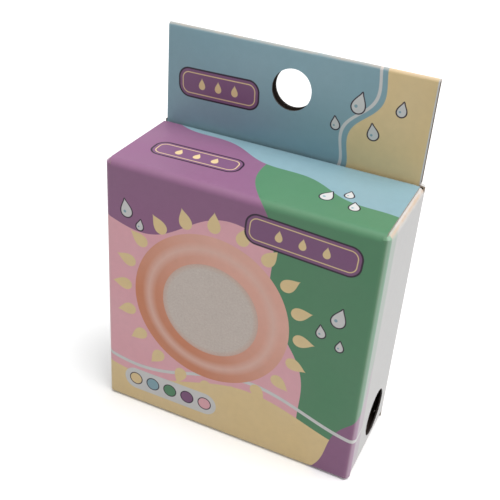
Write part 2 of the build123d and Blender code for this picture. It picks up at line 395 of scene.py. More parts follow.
def drop_crown_group():
    """Signed distance to a ring of drops round a centre, in millimetres."""
    inputs = ("Place", "Centre", "Ring", "Radius", "Count")
    web, entry, leave = new_group("Drop Crown", inputs, ("Distance",))
    moved = web.vector("SUBTRACT", entry["Place"], entry["Centre"])[0]
    angle = web.maths("ARCTAN2", *web.parts(moved))
    step = web.maths("DIVIDE", 2 * pi, entry["Count"])
    nearest = web.maths("MULTIPLY", web.maths("ROUND", web.maths("DIVIDE", angle, step)), step)
    off = web.maths("MULTIPLY", web.maths("SUBTRACT", angle, nearest), entry["Ring"])
    out = web.maths("SUBTRACT", web.vector("LENGTH", moved)["Value"], entry["Ring"])
    local = web.add("CombineXYZ", off, out, 0).outputs[0]
    drop = web.use("Water Drop", place=local, centre=(0, 0, 0), radius=entry["Radius"], turn=0.0)
    web.feed(leave["Distance"], drop["Distance"])


def lay_fields(web, place, fields):
    """Lay waved fields, and give the last one's outputs.

    A field is its ink, its turn in degrees, then level, swell, length and shift in millimetres.
    """
    for field, turn, level, swell, length, shift in fields:
        wave = web.use("Wavy Edge", place=place, turn=radians(turn), level=level, swell=swell,
                       length=length, shift=shift)
        web.lay(wave["Mask"], field)
    return wave


def pastel_fields_group(colours):
    """Colour of the waved pastel fields over the front, lid and bottom, which fade out round the corners."""
    web, entry, leave = new_group("Pastel Fields", ("Place",), ("Colour",))
    place = entry["Place"]
    web.colour = colours.pink
    lay_fields(web, place, (
        (colours.lilac, 8, 75, 4.2, 52, -6),
        (colours.green, -74, 30, 2.6, 47, 8),
        (colours.blue, -17, 107, 1.5, 31, 4),
        (colours.straw, 180, -17, 4.4, 78, 12),
        (colours.lilac, -119, 25.5, 1.5, 29, 3),
    ))
    ripple = web.use("Wavy Edge", place=place, turn=pi, level=-20.5, swell=4.4, length=78.0, shift=12.0)
    web.lay(web.band(ripple["Distance"], middle=0, half=0.65), colours.paper)
    out = web.maths("ABSOLUTE", web.parts(place)[0])
    thinned_and_highlit_ink = web.add("Gamma", web.colour, 0.52).outputs[0]
    # Round each upright crease the ink thins and lightens, partly as a painted highlight on the fold, then
    # gives way to bare board in two steps
    steps = ((-0.35, 0.5, thinned_and_highlit_ink, 1.0), (2.1, 0.4, colours.paper, 0.62), (7.4, 0.8, colours.paper, 1.0))
    for past, soft, over, share in steps:
        web.lay(web.maths("MULTIPLY", web.beyond(out, HALF * MM + past, soft), share), over)
    web.feed(leave["Colour"], web.colour)


def coated_board_group(colours):
    """Print on coated board: mottled ink, pale fold marks that are wear and, on the back folds of the lid and
    bottom, a painted highlight, a fine tooth and a slight unevenness.
    """
    inputs = ("Ink", "Fold", "Unevenness")
    web, entry, leave = new_group("Coated Board", inputs, ("Colour", "Roughness", "Height"))
    place = web.on_piece()
    mottle = web.noise(place, scale=420, detail=3)
    fibre = web.noise(place, scale=2600)
    swell = web.noise(place, scale=55, detail=1)
    shade = web.add("HueSaturation")
    web.feed_named(shade.inputs, color=entry["Ink"], value=web.spread(mottle, 0.10, 0.95),
                   saturation=web.spread(swell, 0.16, 0.92))
    blotch = web.noise(place, scale=180, detail=5, roughness=0.65)
    patches = web.maths("MULTIPLY_ADD", blotch, 2.0, -0.35, clamp=True)
    # The fold mark lays the pale colour: wear along most folds, and a painted highlight along the back folds
    # of the lid and bottom
    rub = web.maths("MULTIPLY", entry["Fold"], patches)
    rough = web.spread(rub, 0.25, web.spread(mottle, 0.12, 0.46))
    height = web.maths("MULTIPLY_ADD", swell, entry["Unevenness"], web.maths("MULTIPLY", fibre, 0.2))
    colour = web.layer(rub, shade.outputs[0], colours.worn_and_highlit)
    web.feed_named(leave, colour=colour, roughness=rough, height=height)


def new_material(name):
    """A new material's nodes, and its shader's inputs."""
    material = bpy.data.materials.new(name)
    material.use_nodes = True
    return Web(material.node_tree), material.node_tree.nodes["Principled BSDF"].inputs


def new_print(name):
    """A new print's nodes, its shader's inputs, and the place on the print in millimetres."""
    web, shader = new_material(name)
    return web, shader, web.add("Attribute", attribute_name="print_place").outputs["Vector"]


def finish_coated(web, shader, unevenness=0.9):
    """Send the print that is laid through the coated board finish into the shader."""
    fold_mark = web.add("Attribute", attribute_name="fold").outputs["Fac"]
    coat = web.use("Coated Board", ink=web.colour, fold=fold_mark, unevenness=unevenness)
    web.feed_named(shader, base_color=coat["Colour"], roughness=coat["Roughness"])
    web.bump(shader, coat["Height"], strength=0.35, distance=0.0002)
    shader["Specular IOR Level"].default_value = 0.32
    shader["Coat Weight"].default_value = 0.04
    shader["Coat Roughness"].default_value = 0.3


# Places and sizes on a print are in millimetres, with the height counted from the carton's foot
def lay_plate(web, place, colours, centre, half, turn):
    """Lay a bare plate with a dark outline, a straw keyline and a row of three drops."""
    half_width, half_height = half
    lean = radians(turn)
    plate = web.use("Rounded Plate", place=place, centre=(*centre, 0), half_width=half_width,
                    half_height=half_height, corner=0.75 * half_height, turn=lean)["Distance"]
    web.lay(web.within(plate, reach=0.55), colours.night)
    web.lay(web.within(plate), colours.plum)
    web.lay(web.band(plate, middle=-1.0, half=0.16), colours.straw)
    below = 0.12 * half_height
    for step in (-1, 0, 1):
        along = 0.42 * half_width * step
        drop_at = (centre[0] + along * cos(lean), centre[1] + along * sin(lean) - below, 0)
        drop = web.use("Water Drop", place=place, centre=drop_at, radius=0.26 * half_height, turn=lean)
        web.lay(web.within(drop["Distance"]), colours.straw)


def lay_drops(web, place, colours, drops):
    """Lay pale drops with a darker outline and a glint: place, radius, and turn in degrees."""
    for across, up, radius, turn in drops:
        drop = web.use("Water Drop", place=place, centre=(across, up, 0), radius=radius, turn=radians(turn))
        web.lay(web.within(drop["Distance"], reach=0.4), colours.night)
        web.lay(web.within(drop["Distance"]), colours.paper)
        web.lay(web.within(drop["Glint"]), colours.blue)


def lay_medallion(web, place, colours, centre, radius):
    """Lay a plan view of a round dish, ringed by drops."""
    well = 0.62 * radius
    crown = web.use("Drop Crown", place=place, centre=(*centre, 0), ring=radius + 3.4, radius=2.1, count=20.0)
    web.lay(web.within(crown["Distance"]), colours.straw)
    moved = web.vector("SUBTRACT", place, (*centre, 0))[0]
    out = web.vector("LENGTH", moved)["Value"]
    light = web.maths("MULTIPLY_ADD", web.maths("ADD", *web.parts(moved)), 0.5 / radius, 0.5, clamp=True)
    rim = web.layer(light, colours.clay, colours.peach)
    rim = web.layer(web.band(out, middle=0.81 * radius, half=1.0, soft=1.4), rim, colours.rim)
    pad = web.layer(web.noise(place, scale=1.6, detail=3), colours.pad, colours.sponge)
    shadow = web.maths("MULTIPLY", web.beyond(out, well - 0.3, soft=1.6), 0.55)
    web.lay(web.within(out, radius), rim)
    web.lay(web.within(out, well), web.layer(shadow, pad, colours.clay))


def lay_dots(web, place, colours, centre, half):
    """Lay a pale card with a row of ink dots."""
    half_width, end = half
    card = web.use("Rounded Plate", place=place, centre=(*centre, 0), half_width=half_width, half_height=end,
                   corner=end, turn=0.0)["Distance"]
    web.lay(web.within(card), colours.paper)
    inks = (colours.straw, colours.blue, colours.green, colours.plum, colours.pink)
    step = 2 * (half_width - end) / (len(inks) - 1)
    for count, dot in enumerate(inks):
        dot_at = (centre[0] - half_width + end + count * step, centre[1], 0)
        out = web.vector("LENGTH", web.vector("SUBTRACT", place, dot_at)[0])["Value"]
        web.lay(web.within(out, reach=2.45), colours.night)
        web.lay(web.within(out, reach=2.1), dot)


def front_print(colours):
    """Print that runs over the front, the lid and the bottom."""
    web, shader, place = new_print("front_print")
    web.colour = web.use("Pastel Fields", place=place)["Colour"]
    lay_medallion(web, place, colours, (-7, 47), 26)
    lay_plate(web, place, colours, (20, 79), (17, 4.4), -3)
    lay_plate(web, place, colours, (-21, 104), (14, 4.2), 2)
    lay_dots(web, place, colours, (-20, 10), (17, 4.2))
    lay_drops(web, place, colours, (
        (33, 58, 2.0, -12), (28.5, 52, 1.3, 8), (34.5, 49, 1.1, 0), (-36, 73, 1.8, 10),
        (-31.5, 69, 1.1, -8), (21, 101, 1.7, -10), (26.5, 105, 1.2, 6), (30, 99, 1.4, 14),
    ))
    finish_coated(web, shader)


def side_print():
    """Pale sides, with the front's inks run a little way round the corner."""
    web, shader, place = new_print("side_print")
    web.colour = web.use("Pastel Fields", place=place)["Colour"]
    finish_coated(web, shader, unevenness=2.4)


def tab_print(colours):
    """Print of the hanging tab's front."""
    web, shader, place = new_print("tab_print")
    web.colour = colours.blue
    wave = lay_fields(web, place, ((colours.straw, -111, -16, 2.2, 25, 6),))
    web.lay(web.band(wave["Distance"], middle=2.2, half=0.5), colours.paper)
    lay_plate(web, place, colours, (-24, 103.5), (13.5, 4.3), 2)
    drops = ((20.5, 108, 1.9, -10), (14.5, 101, 1.2, 8), (26, 100.5, 1.5, 12), (33, 109, 1.3, -6))
    lay_drops(web, place, colours, drops)
    sizes = bpy.context.scene.carton_sizes
    # A pale strip along the right edge: unprinted board, and a painted highlight on the edge
    bare_and_highlit_from = (sizes.tab_half - sizes.bare_and_highlit_edge) * MM
    web.lay(web.beyond(web.parts(place)[0], bare_and_highlit_from), colours.paper)
    finish_coated(web, shader)


def back_print(colours):
    """Print of the back: a bare pale panel on waved fields."""
    web, shader, place = new_print("back_print")
    web.colour = colours.lilac
    lay_fields(web, place, (
        (colours.pink, 180, -62, 5, 70, 0),
        (colours.straw, 180, -20, 4, 60, 9),
        (colours.blue, 4, 89, 2, 48, 5),
    ))
    web.lay(web.beyond(web.parts(place)[0], HALF * MM - 2.3, soft=0.3), colours.paper)
    panel = web.use("Rounded Plate", place=place, centre=(0, 46, 0), half_width=31.0, half_height=24.0,
                    corner=4.0, turn=0.0)["Distance"]
    web.lay(web.within(panel), colours.paper)
    lay_dots(web, place, colours, (0, 31), (19, 4.2))
    lay_drops(web, place, colours, ((-8, 53, 3.0, 0), (0, 49, 2.0, 0), (7, 54, 2.5, 0)))
    finish_coated(web, shader)


def darker(colour, share):
    """A colour with only a share of its light."""
    return tuple(share * part for part in colour)


def raw_board(colours):
    """Bare inner face of the board: brown pulp darkened further as painted shade inside the closed carton,
    with fibres and flecks.
    """
    web, shader = new_material("raw_board")
    place = web.on_piece()
    cloud = web.noise(place, scale=160, detail=4, roughness=0.6)
    fleck = web.maths("GREATER_THAN", web.noise(place, scale=1500), 0.66)
    # The pulp's dark tone holds painted shade of the carton's inside
    pulp = web.layer(cloud, darker(colours.inside, 0.72), colours.inside)
    colour = web.layer(web.maths("MULTIPLY", fleck, 0.12), pulp, colours.cut)
    web.feed_named(shader, base_color=colour, roughness=web.spread(cloud, 0.15, 0.78))
    fibres = web.noise(place, scale=2200, detail=3, roughness=0.6)
    web.bump(shader, fibres, strength=0.4, distance=0.00008)


def cut_edge(name, colour):
    """Cut edges of the board: pulp in fine plies."""
    web, shader = new_material(name)
    ply = web.noise(web.on_piece(), scale=3200)
    pulp = web.layer(ply, darker(colour, 0.8), colour)
    web.feed_named(shader, base_color=pulp, roughness=web.spread(ply, 0.2, 0.7))


def moulded_plastic(name, colour):
    """Glossy pastel plastic with a slight flow mark and fine rubs."""
    web, shader = new_material(name)
    place = web.on_piece()
    flow = web.noise(place, scale=30, detail=3)
    rub = web.noise(place, scale=700, detail=5, roughness=0.7)
    tone = web.layer(flow, darker(colour, 0.9), colour)
    web.feed_named(shader, base_color=tone, roughness=web.spread(rub, 0.16, 0.22))
    web.bump(shader, web.noise(place, scale=120), strength=0.15, distance=0.0001)
    shader["Coat Weight"].default_value = 0.15
    shader["Coat Roughness"].default_value = 0.2


def open_foam(colours):
    """Foam of the pad: pale cell walls round pores darkened as painted shade."""
    web, shader = new_material("open_foam")
    place = web.on_piece()
    cell = web.add("TexVoronoi", feature="DISTANCE_TO_EDGE")
    web.feed_named(cell.inputs, vector=place, scale=900.0)
    wall = web.maths("MULTIPLY", cell.outputs["Distance"], 2.2, clamp=True)
    tone = web.noise(place, scale=90, detail=3)
    # The darker colour deep in the pores is painted shade in the foam's hollows
    foam = web.layer(web.maths("MULTIPLY", wall, 0.4), colours.sponge, darker(colours.sponge, 0.55))
    colour = web.layer(web.maths("MULTIPLY", tone, 0.3), foam, colours.pad)
    web.feed_named(shader, base_color=colour, roughness=web.spread(tone, 0.1, 0.85))
    web.bump(shader, wall, strength=0.5, distance=0.0003, invert=True)


def leave_edit():
    """Go back to object mode, with nothing selected."""
    if bpy.context.mode != "OBJECT":
        bpy.ops.object.mode_set(mode="OBJECT")
    bpy.ops.object.select_all(action="DESELECT")


def pick_all():
    """Select the whole mesh in edit mode."""
    bpy.ops.mesh.select_all(action="SELECT")


def begin_shaping(name, scale=(1, 1, 1)):
    """Name the new primitive, take its size and place into its mesh, and go into edit mode."""
    piece = bpy.context.object
    piece.name = piece.data.name = name
    piece.scale = scale
    bpy.ops.object.transform_apply(location=True, rotation=True, scale=True)
    bpy.ops.object.mode_set(mode="EDIT")
    return piece


def start_sheet(name, facing, centre, size, steps=(1, 1)):
    """Add a flat grid at its size and place, as the start of a board panel, in edit mode."""
    leave_edit()
    bpy.ops.mesh.primitive_grid_add(
        x_subdivisions=steps[0], y_subdivisions=steps[1], size=1, location=centre, rotation=FACING[facing]
    )
    return begin_shaping(name, (*size, 1))


def start_line(name, points):
    """Draw a line of points from a plane merged to one vertex, in edit mode."""
    leave_edit()
    bpy.ops.mesh.primitive_plane_add(size=TINY, location=points[0])
    line = begin_shaping(name)
    bpy.ops.mesh.select_mode(type="VERT")
    pick_all()
    bpy.ops.mesh.merge(type="CENTER")
    for begin, end in zip(points, points[1:]):
        run_on(*(Vector(end) - Vector(begin)))
    pick_all()
    return line


def start_edge(name, begin, end, cuts=0):
    """Draw one straight edge, cut into equal runs, with all of it picked."""
    edge = start_line(name, [begin, end])
    if cuts:
        bpy.ops.mesh.subdivide(number_cuts=cuts)
        pick_all()
    return edge



def pick(kind, test):
    """Select the vertices, or the open edges, that pass a test of place."""
    bpy.ops.mesh.select_mode(type=kind)
    bpy.ops.mesh.select_all(action="DESELECT")
    mesh = bmesh.from_edit_mesh(bpy.context.edit_object.data)
    if kind == "VERT":
        found = [vertex for vertex in mesh.verts if test(vertex.co)]
    else:
        found = [e for e in mesh.edges if e.is_boundary and all(test(vertex.co) for vertex in e.verts)]
    if not found:
        raise RuntimeError(f"Nothing to pick on {bpy.context.edit_object.name}")
    for item in found:
        item.select_set(True)
    bmesh.update_edit_mesh(bpy.context.edit_object.data)


def near(value, target):
    """True where two lengths are the same to a micrometre."""
    return abs(value - target) < 2 * TINY


def fold(centre, axis, angle, steps=14):
    """Fold the picked edges round a crease by the right-hand rule; spin itself turns the other way."""
    bpy.ops.mesh.spin(steps=steps, angle=-angle, center=centre, axis=axis)


def run_on(x=0.0, y=0.0, z=0.0):
    """Run the picked edges on in a straight line."""
    bpy.ops.mesh.extrude_region_move(TRANSFORM_OT_translate={"value": (x, y, z)})


def shift_picked(x=0.0, y=0.0, z=0.0):
    """Move what is picked."""
    bpy.ops.transform.translate(value=(x, y, z))


def scale_picked(shares, centre):
    """Scale what is picked about a centre."""
    bpy.ops.transform.resize(value=shares, center_override=centre)


def cut_line(place, normal):
    """Cut a line of edges across the whole sheet."""
    pick_all()
    bpy.ops.mesh.bisect(plane_co=place, plane_no=normal)


def modify(piece, kind, **settings):
    """Add a modifier with its settings and apply it."""
    bpy.context.view_layer.objects.active = piece
    bpy.ops.object.modifier_add(type=kind)
    modifier = piece.modifiers[-1]
    for setting, value in settings.items():
        setattr(modifier, setting, value)
    bpy.ops.object.modifier_apply(modifier=modifier.name)


def smooth(piece, sharp):
    """Shade a piece smooth, apart from edges sharper than an angle in degrees."""
    leave_edit()
    piece.select_set(True)
    bpy.context.view_layer.objects.active = piece
    bpy.ops.object.shade_smooth_by_angle(angle=radians(sharp))
    piece.select_set(False)


def turn_outward(sheet, outward):
    """Merge doubles and turn every face of an open sheet the same way, outward."""
    bpy.context.view_layer.objects.active = sheet
    if bpy.context.mode != "EDIT_MESH":
        bpy.ops.object.mode_set(mode="EDIT")
    pick_all()
    bpy.ops.mesh.remove_doubles(threshold=TINY)
    bpy.ops.mesh.normals_make_consistent(inside=False)
    mesh = bmesh.from_edit_mesh(sheet.data)
    facing = sum((face.normal * face.calc_area() for face in mesh.faces), Vector())
    if facing.dot(Vector(outward)) < 0:
        bpy.ops.mesh.flip_normals()
    leave_edit()


def mark_folds(sheet, wear_and_highlight, flats):
    """Store the fold mark, wear with a painted highlight on some folds, at each vertex, from none on flats
    that face along these axes to all in mid fold.
    """
    marks = sheet.data.attributes.new("fold", "FLOAT", "POINT")
    flat, middle = 1.0, sin(pi / 4)
    for vertex in sheet.data.vertices:
        lean = max(abs(vertex.normal[axis]) for axis in flats)
        marks.data[vertex.index].value = wear_and_highlight * min(1.0, (flat - lean) / (flat - middle))


def place_print(sheet, across, up):
    """Store each vertex's place on the print, in millimetres."""
    places = sheet.data.attributes.new("print_place", "FLOAT_VECTOR", "POINT")
    for vertex in sheet.data.vertices:
        places.data[vertex.index].vector = (across(vertex.co) * MM, up(vertex.co) * MM, 0)


def across_front(place):
    """Distance across the front, run on round its corners."""
    side = 1 if place.x > 0 else -1
    return place.x + side * (place.y - FRONT)


def across_flat(place):
    return place.x


def up_wall(place):
    return place.z


def up_lid(place):
    """Height up the front, run on over the lid."""
    return place.z + place.y - FRONT


def up_bottom(place):
    """Height up the front, run on under the bottom."""
    return place.z - (place.y - FRONT)


def finish_board(sheet, outward, look, across=across_flat, up=up_wall, cage=None, cutter=None, wear_and_highlight=0.15,
                 flats=(0, 1, 2)):
    """Give a folded sheet its thickness, cut, print and bare faces."""
    sizes = bpy.context.scene.carton_sizes
    turn_outward(sheet, outward)
    mark_folds(sheet, wear_and_highlight, flats)
    for name in (look, "raw_board", "cut_edge"):
        sheet.data.materials.append(bpy.data.materials[name])
    if cage:
        modify(sheet, "LATTICE", object=cage)
        bpy.data.objects.remove(cage)
    modify(sheet, "SOLIDIFY", thickness=sizes.board, offset=-1, use_even_offset=True, material_offset=1,
           material_offset_rim=2)
    if cutter:
        modify(sheet, "BOOLEAN", operation="DIFFERENCE", object=cutter, solver="EXACT",
               material_mode="TRANSFER")
        bpy.data.objects.remove(cutter)
    place_print(sheet, across, up)
    smooth(sheet, 30)


def round_cutter(place, axis, radius, depth):
    """A round cutter that leaves a punched edge, darkened as painted shade."""
    leave_edit()
    turn = (pi / 2, 0, 0) if axis == "Y" else (0, pi / 2, 0)
    bpy.ops.mesh.primitive_cylinder_add(
        vertices=96, radius=radius, depth=depth, location=place, rotation=turn
    )
    cutter = bpy.context.object
    bpy.ops.object.transform_apply(location=True, rotation=True, scale=True)
    cutter.data.materials.append(bpy.data.materials["punched_edge"])
    return cutter


def hole_cutter():
    """Cutter for the hanging hole, through both plies of the tab."""
    return round_cutter(HOLE_AT, "Y", HOLE_RADIUS, 4 * (BACK - TAB_LOW.y))


def start_cage(low, high, counts):
    """A smooth lattice that fills a box."""
    leave_edit()
    bpy.ops.object.add(type="LATTICE", location=(low + high) / 2)
    cage = bpy.context.object
    cage.scale = high - low
    shape = cage.data
    shape.points_u, shape.points_v, shape.points_w = counts
    shape.interpolation_type_u = shape.interpolation_type_w = "KEY_CATMULL_ROM"
    shape.interpolation_type_v = "KEY_LINEAR"
    return cage


def bow_cage(high_z):
    """A lattice round the tab that bows its front ply forward between its edges."""
    sizes = bpy.context.scene.carton_sizes
    low, high = Vector((-sizes.tab_half, TAB_LOW.y, TOP)), Vector((sizes.tab_half, BACK, high_z))
    cage = start_cage(low, high, (9, 2, 7))
    for point in cage.data.points:
        if point.co.y < 0:
            share = cos(pi * point.co.x) * cos(pi * point.co.z)
            point.co_deform.y -= sizes.tab_bow / (high.y - low.y) * share
    return cage


def seat(piece, body, slot, *nodes):
    """Let a finished piece ride on its body and stand for its nodes."""
    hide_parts(*nodes)
    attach(piece, body)


class MakeFinishes(bpy.types.Operator):
    """Mix the inks, board and plastics"""

    bl_idname = "moistener.finishes"
    bl_label = "Finishes"

    def execute(self, context):
        colours = context.scene.print_colours
        wavy_edge_group()
        plate_group()
        drop_group()
        drop_crown_group()
        pastel_fields_group(colours)
        coated_board_group(colours)
        for finish in (front_print, tab_print, back_print, raw_board, open_foam):
            finish(colours)
        side_print()
        cut_edge("cut_edge", colours.cut)
        # Punched edges take a darker colour than cut edges: painted shade inside the holes' rims
        cut_edge("punched_edge", colours.punched)
        moulded_plastic("bowl_moulding", colours.bowl)
        moulded_plastic("rim_moulding", colours.rim)
        return {"FINISHED"}


class MakeFront(bpy.types.Operator):
    """Model the front wall with its upright corner creases"""

    bl_idname = "moistener.front"
    bl_label = "Front Wall"

    def execute(self, context):
        sizes = context.scene.carton_sizes
        crease = sizes.upright_crease
        flat = HALF - crease
        low, high = sizes.bottom_crease, TOP - sizes.lid_crease
        centre = (0, FRONT, (low + high) / 2)
        sheet = start_sheet("front_wall", "FRONT", centre, (2 * flat, high - low), (16, 24))
        for side in (1, -1):
            pick("EDGE", lambda p: near(p.x, side * flat))
            fold((side * flat, FRONT + crease, 0), (0, 0, side), pi / 2)
        # Each corner's ends run on past the folds and close in
        for side in (1, -1):
            for level, rise in ((high, sizes.lid_crease), (low, -sizes.bottom_crease)):
                pick("EDGE", lambda p: near(p.z, level) and side * p.x > flat - TINY)
                run_on(z=CORNER_RUN * rise)
                run_on(z=CORNER_TAPER * rise)
                scale_picked(CORNER_KEPT, (side * flat, FRONT + crease, 0))
        finish_board(sheet, (0, -1, 0), "front_print", across_front, wear_and_highlight=0.12)
        seat(sheet, "carton", "print_pink", "front_panel")
        return {"FINISHED"}


class MakeSides(bpy.types.Operator):
    """Model both side walls, the right one with its round window"""

    bl_idname = "moistener.sides"
    bl_label = "Side Walls"

    def execute(self, context):
        sizes = context.scene.carton_sizes
        crease = sizes.upright_crease
        begin = FRONT + crease
        high = DUST_TOP - sizes.dust_drop - sizes.dust_crease
        low = TOP - high
        walls = (("right_wall", "RIGHT", 1, BACK - crease, "right_side_panel"),
                 ("left_wall", "LEFT", -1, GLUE_HIGH.y - crease, "left_side_panel"))
        for name, facing, side, end, node in walls:
            centre = (side * HALF, (begin + end) / 2, (low + high) / 2)
            sheet = start_sheet(name, facing, centre, (end - begin, high - low), (8, 24))
            cutter = None
            if side > 0:
                cutter = round_cutter((HALF, WINDOW_AT.y, WINDOW_AT.z), "X", sizes.window_radius, 4 * crease)
            finish_board(sheet, (side, 0, 0), "side_print", across_front, cutter=cutter)
            seat(sheet, "carton", "print_pale", node)
        return {"FINISHED"}


class MakeBack(bpy.types.Operator):
    """Model the back wall, which carries the tab's rear ply, and the glue flap inside it"""

    bl_idname = "moistener.back"
    bl_label = "Back Wall"

    def execute(self, context):
        sizes = context.scene.carton_sizes
        crease = sizes.upright_crease
        flat = HALF - crease
        left, high = BACK_LOW.x, BACK_HIGH.z
        centre = ((left + flat) / 2, BACK, high / 2)
        sheet = start_sheet("back_wall", "BACK", centre, (flat - left, high), (8, 8))
        beside = BOTTOM_TUCK_HIGH.x + SLIT
        for level in (FRONT_HIGH.z, TOP):
            cut_line((0, 0, level), (0, 0, 1))
        cut_line((beside, 0, 0), (1, 0, 0))
        pick("EDGE", lambda p: near(p.x, flat) and p.z < FRONT_HIGH.z + TINY)
        fold((flat, BACK - crease, 0), (0, 0, -1), pi / 2)
        # The corner's foot closes in beside the bottom, and its top end behind the tab
        pick("EDGE", lambda p: near(p.z, 0) and p.x > beside - TINY)
        run_on()
        scale_picked(FOOT_KEPT, (beside, BACK - crease, 0))
        run_on(y=-FOOT_TURN_IN * crease)
        pick("EDGE", lambda p: near(p.z, FRONT_HIGH.z) and p.x > flat - TINY)
        run_on(z=sizes.board / 2)
        scale_picked(HEAD_KEPT, (flat, BACK - crease, 0))
        pick("EDGE", lambda p: near(p.x, flat) and p.z > TOP - TINY)
        run_on(x=sizes.tab_half - flat)
        pick("VERT", lambda p: near(p.x, left) and p.z > TOP - TINY)
        shift_picked(x=-sizes.tab_half - left)
        finish_board(sheet, (0, 1, 0), "back_print", cutter=hole_cutter())
        seat(sheet, "carton", "print_lilac", "back_panel")
        self.glue_flap(sizes)
        return {"FINISHED"}

    def glue_flap(self, sizes):
        """Flap that turns in from the left wall and is bonded inside the back."""
        crease = sizes.upright_crease
        flat = HALF - crease
        low, high = GLUE_LOW.z, GLUE_HIGH.z
        width = GLUE_HIGH.x + flat
        centre = (width / 2 - flat, GLUE_HIGH.y, (low + high) / 2)
        flap = start_sheet("bonded_flap", "BACK", centre, (width, high - low))
        taper = width * tan(sizes.glue_rake)
        for level, rise in ((low, taper), (high, -taper)):
            pick("VERT", lambda p: near(p.z, level) and p.x > -flat + TINY)
            shift_picked(z=rise)
        pick("EDGE", lambda p: near(p.x, -flat))
        fold((-flat, GLUE_HIGH.y - crease, 0), (0, 0, 1), pi / 2)
        finish_board(flap, (0, 1, 0), "side_print")
        seat(flap, "carton", "bare_board", "glue_flap")


class MakeTab(bpy.types.Operator):
    """Model the hanging tab's front ply, folded over at the top, with its tongue"""

    bl_idname = "moistener.tab"
    bl_label = "Hanging Tab"

    def execute(self, context):
        sizes = context.scene.carton_sizes
        bend = (BACK - TAB_LOW.y) / 2
        high = TAB_HIGH.z - bend
        centre = (0, TAB_LOW.y, (TOP + high) / 2)
        sheet = start_sheet("hang_tab", "FRONT", centre, (2 * sizes.tab_half, high - TOP), (24, 12))
        pick("EDGE", lambda p: near(p.z, high))
        fold((0, TAB_LOW.y + bend, high), (-1, 0, 0), pi)
        tongue_half = sizes.tab_half - sizes.tongue_inset
        for edge in (-tongue_half, tongue_half):
            cut_line((edge, 0, 0), (1, 0, 0))
        pick("EDGE", lambda p: near(p.z, TOP))
        run_on(z=-sizes.tab_lap)
        pick("EDGE", lambda p: near(p.z, TOP - sizes.tab_lap) and abs(p.x) < tongue_half + TINY)
        run_on(z=sizes.tab_lap - sizes.tongue_length)
        cutter, cage = hole_cutter(), bow_cage(high)
        finish_board(sheet, (0, -1, 0), "tab_print", cage=cage, cutter=cutter, wear_and_highlight=0.7, flats=(1,))
        seat(sheet, "carton", "print_blue", "hang_tab_front_ply")
        return {"FINISHED"}


def closing_panel(name, upper, back_edge, tuck_box, print_up):
    """Model a lid or bottom: its crease on the front, its panel, its fold and its tuck flap."""
    sizes = bpy.context.scene.carton_sizes
    sign = 1 if upper else -1
    level = TOP if upper else 0.0
    half = LID_HIGH.x
    lean = sizes.tuck_lean
    bend = sizes.fold_radius
    crease, roll = (sizes.lid_crease, sizes.lid_roll) if upper else (sizes.bottom_crease, sizes.bottom_roll)
    crease_y, crease_z = FRONT + roll, level - sign * crease
    bodies = ("lid", "lid_tuck") if upper else ("bottom", "bottom_tuck")
    near_z, far_z = (tuck_box[1].z, tuck_box[0].z) if upper else (tuck_box[0].z, tuck_box[1].z)
    # The fold runs from the panel to the tuck's leaning outer face, which passes the back edge at this drop
    drop = max(abs(level - near_z) - sizes.board * sin(lean), sizes.board)
    fold_z = level - sign * bend
    fold_y = back_edge + ((drop - bend) * sin(lean) - bend) / cos(lean)

    strip = start_edge(name + "_crease", (-half, FRONT, crease_z), (half, FRONT, crease_z), cuts=15)
    fold((0, FRONT + crease, crease_z), (-sign, 0, 0), pi / 2)
    pick_all()
    scale_picked((1, roll / crease, 1), (0, FRONT, 0))
    finish_board(strip, (0, -1, sign), "front_print", up=print_up, wear_and_highlight=0.04)
    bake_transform(strip)

    centre = (0, (crease_y + fold_y) / 2, level)
    panel = start_sheet(name + "_cover", "TOP", centre, (2 * half, fold_y - crease_y), (16, 8))
    finish_board(panel, (0, 0, sign), "front_print", up=print_up)
    seat(panel, bodies[0], "print_lilac", name + "_panel")

    reach = tuck_box[1].x
    edge = start_edge(name + "_fold", (-reach, fold_y, level), (reach, fold_y, level))
    fold((0, fold_y, fold_z), (-sign, 0, 0), pi / 2 + lean)
    # The heavy pale mark on this fold is worn coating and a painted highlight along the panel's back edge
    finish_board(edge, (0, 1, sign), "front_print", up=print_up, wear_and_highlight=0.8)
    fold_end = Vector((0, fold_y + bend * cos(lean), fold_z - sign * bend * sin(lean)))
    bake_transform(edge)

    down = Vector((0, -sin(lean), -sign * cos(lean)))
    length = abs(far_z - fold_end.z) / cos(lean)
    aside = Vector((reach, 0, 0))
    flap = start_edge(name + "_tuck", fold_end - aside, fold_end + aside)
    run_on(*(length * down))
    pick("VERT", lambda p: near(p.z, (fold_end + length * down).z))
    bpy.ops.mesh.bevel(offset=sizes.tuck_corner, segments=8, affect="VERTICES")
    finish_board(flap, (0, 1, 0), "front_print", up=print_up)
    seat(flap, bodies[1], "bare_board", name + "_tuck_flap")


class MakeLid(bpy.types.Operator):
    """Model the lid with its crease, fold and tuck flap"""

    bl_idname = "moistener.lid"
    bl_label = "Lid"

    def execute(self, context):
        closing_panel("lid", True, LID_HIGH.y, (LID_TUCK_LOW, LID_TUCK_HIGH), up_lid)
        return {"FINISHED"}


class MakeBottom(bpy.types.Operator):
    """Model the bottom with its crease, fold and tuck flap"""

    bl_idname = "moistener.bottom"
    bl_label = "Bottom"

    def execute(self, context):
        closing_panel("bottom", False, BOTTOM_HIGH.y, (BOTTOM_TUCK_LOW, BOTTOM_TUCK_HIGH), up_bottom)
        return {"FINISHED"}


